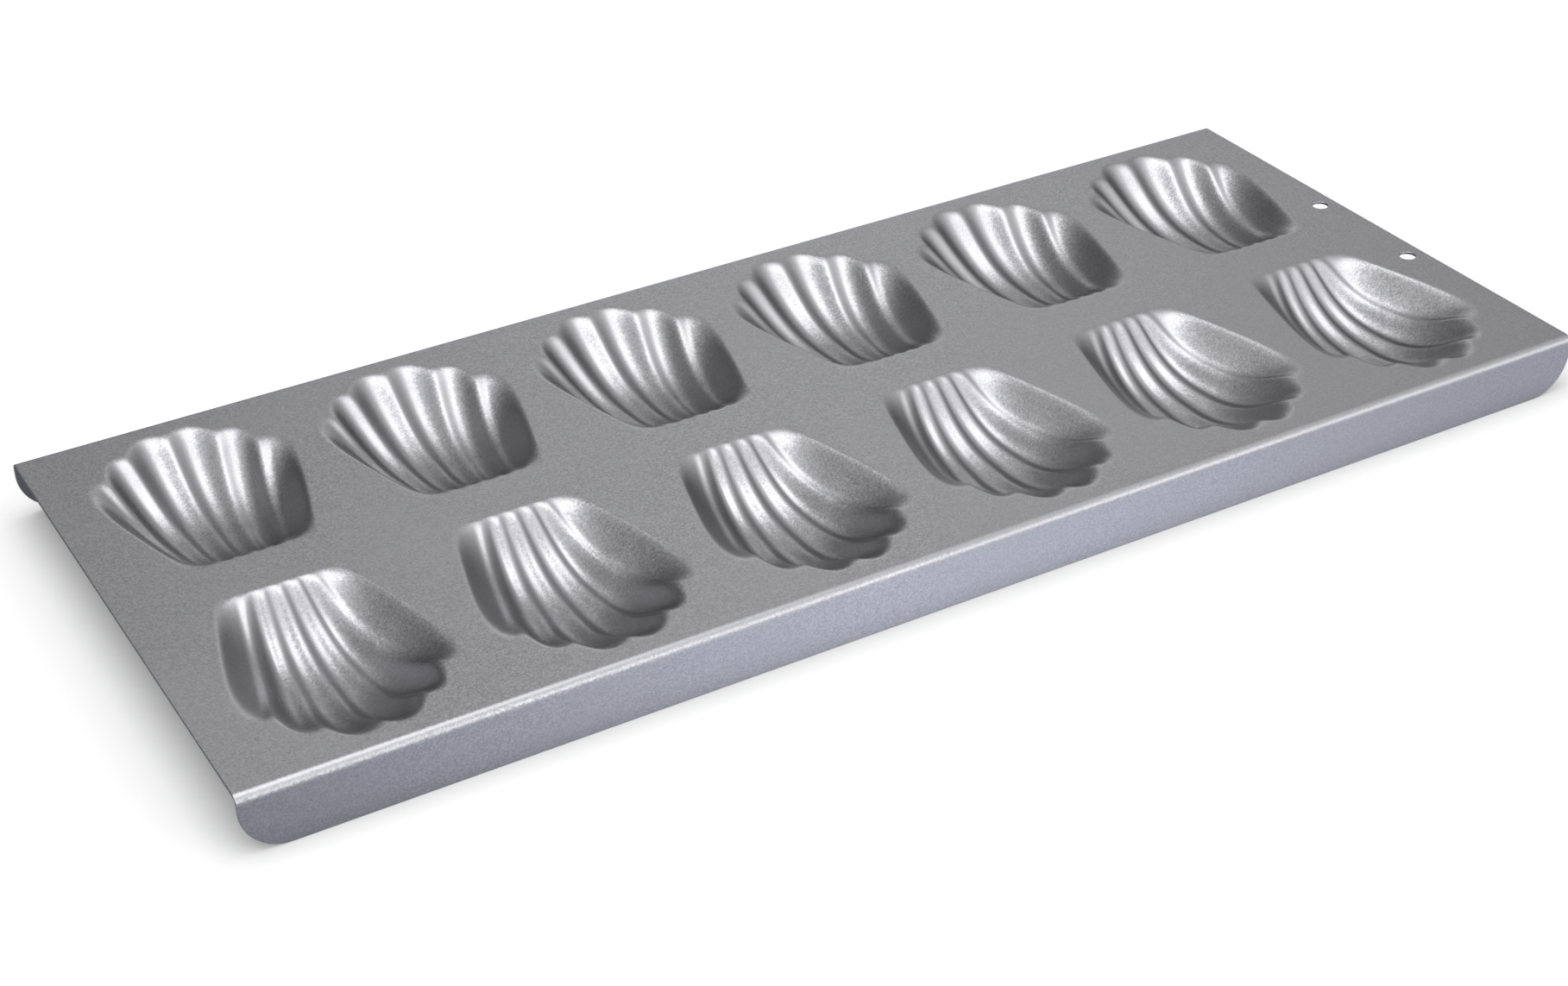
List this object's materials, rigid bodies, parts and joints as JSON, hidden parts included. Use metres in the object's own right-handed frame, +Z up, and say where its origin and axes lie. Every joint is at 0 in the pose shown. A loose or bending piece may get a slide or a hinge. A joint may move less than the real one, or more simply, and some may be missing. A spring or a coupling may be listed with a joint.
{
  "type": "madeleine pan",
  "caption": "Pressed steel madeleine pan: a flat plate with fluted shell moulds in two rows, folded long sides and hanging holes at one end.",
  "frame": {"origin": "bottom centre of the pan, on the surface it stands on, midway along its length and width", "axes": "+X along the long side towards the end with the hanging holes, +Y towards the back long side, +Z up out of the open moulds"},
  "size_m": [0.39, 0.1656, 0.0165],
  "materials": {
    "coated_steel": "satin silver-grey release coating with a fine metallic grain"
  },
  "bodies": {
    "root": {"top_plate": "coated_steel", "front_flange": "coated_steel", "back_flange": "coated_steel", "shell_mould_front_1": "coated_steel", "shell_mould_front_2": "coated_steel", "shell_mould_front_3": "coated_steel", "shell_mould_front_4": "coated_steel", "shell_mould_front_5": "coated_steel", "shell_mould_front_6": "coated_steel", "shell_mould_back_1": "coated_steel", "shell_mould_back_2": "coated_steel", "shell_mould_back_3": "coated_steel", "shell_mould_back_4": "coated_steel", "shell_mould_back_5": "coated_steel", "shell_mould_back_6": "coated_steel"}
  },
  "joints": []
}
